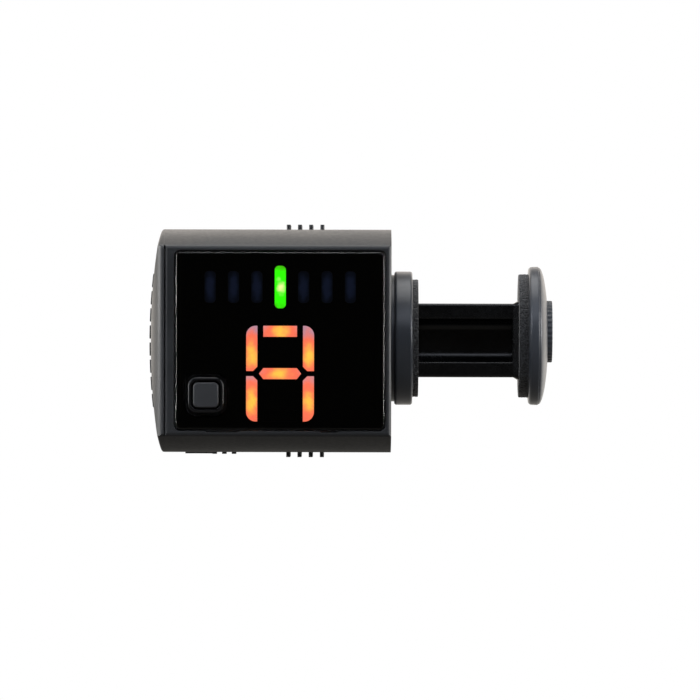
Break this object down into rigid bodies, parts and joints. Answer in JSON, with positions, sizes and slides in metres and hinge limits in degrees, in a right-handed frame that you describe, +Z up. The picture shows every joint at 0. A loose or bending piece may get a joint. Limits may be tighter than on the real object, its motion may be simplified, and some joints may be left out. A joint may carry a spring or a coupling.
{
  "type": "clip-on tuner",
  "caption": "Clip-on instrument tuner: a display housing with a lit needle meter and note digit, and a spring-loaded sliding jaw with two round padded discs.",
  "frame": {"origin": "on the slide axis, in the plane of the fixed pad's face", "axes": "+X along the slide towards the moving jaw, +Y to the back of the housing (the display faces -Y), +Z up"},
  "size_m": [0.0471, 0.0265, 0.0272],
  "materials": {
    "housing_plastic": "moulded black ABS, fine satin",
    "jaw_plastic": "moulded black nylon, satin",
    "bar_plastic": "moulded black acetal, smooth",
    "pad_rubber": "closed-cell foam rubber",
    "lens_acrylic": "smoked clear acrylic, polished",
    "film_black": "printed black polyester film and black mask moulding",
    "button_plastic": "moulded black ABS",
    "lit_green": "diffusing acrylic, lit green",
    "smoked_bar": "diffusing acrylic, unlit",
    "lit_red": "diffusing acrylic, lit orange red",
    "led_resin": "moulded LED resin",
    "board_laminate": "glass-epoxy laminate with green solder mask",
    "chip_epoxy": "moulded epoxy",
    "tin_can": "drawn steel can",
    "cell_steel": "pressed stainless steel",
    "contact_metal": "nickel-plated spring strip",
    "pickup_brass": "rolled brass disc",
    "pickup_ceramic": "silvered piezo ceramic",
    "lead_insulation_red": "PVC insulation",
    "lead_insulation_black": "PVC insulation",
    "spring_steel": "drawn music wire",
    "screw_steel": "zinc-plated steel"
  },
  "bodies": {
    "housing": {"button_surround": "button_plastic", "case_screws": "screw_steel", "chip_passives": "chip_epoxy", "coin_cell": "cell_steel", "digit_segment_a": "lit_red", "digit_segment_b": "lit_red", "digit_segment_c": "lit_red", "digit_segment_d": "smoked_bar", "digit_segment_e": "lit_red", "digit_segment_f": "lit_red", "digit_segment_g": "lit_red", "display_lens": "lens_acrylic", "end_cap_left": "housing_plastic", "fixed_jaw": "jaw_plastic", "fixed_pad": "pad_rubber", "guide_screws": "screw_steel", "housing_front": "housing_plastic", "housing_rear": "housing_plastic", "light_mask": "film_black", "main_board": "board_laminate", "meter_bar_1": "smoked_bar", "meter_bar_2": "smoked_bar", "meter_bar_3": "smoked_bar", "meter_bar_4": "lit_green", "meter_bar_5": "smoked_bar", "meter_bar_6": "smoked_bar", "meter_bar_7": "smoked_bar", "meter_leds": "led_resin", "microcontroller": "chip_epoxy", "negative_contact": "contact_metal", "pickup_ceramic": "pickup_ceramic", "pickup_disc": "pickup_brass", "pickup_lead_ground": "lead_insulation_black", "pickup_lead_signal": "lead_insulation_red", "positive_contact": "contact_metal", "preamp_chip": "chip_epoxy", "return_spring": "spring_steel", "segment_leds": "led_resin", "slide_guide": "bar_plastic", "spring_seat": "bar_plastic", "tact_switch": "chip_epoxy", "timing_crystal": "tin_can", "window_film": "film_black"},
    "slider": {"slider_bar": "bar_plastic", "moving_jaw": "jaw_plastic", "moving_pad": "pad_rubber", "jaw_cap": "jaw_plastic", "cap_badge": "jaw_plastic", "jaw_screws": "screw_steel"},
    "button": {"power_button": "button_plastic", "switch_plunger": "chip_epoxy"},
    "cover": {"battery_cover": "housing_plastic"}
  },
  "joints": [
    {"name": "jaw_slide", "type": "slide", "parent": "housing", "child": "slider", "axis": [1, 0, 0], "range_m": [0, 0.008], "stiffness_N_per_m": 350, "springref_m": -0.006, "deforming": ["return_spring"]},
    {"name": "button_press", "type": "slide", "parent": "housing", "child": "button", "axis": [0, 1, 0], "range_m": [0, 0.00035], "stiffness_N_per_m": 800, "springref_m": -0.0008},
    {"name": "cover_turn", "type": "hinge", "parent": "housing", "child": "cover", "pos_m": [-0.01632, 0.013, -0.0001], "axis": [0, 1, 0], "range_deg": [0, 45]}
  ]
}
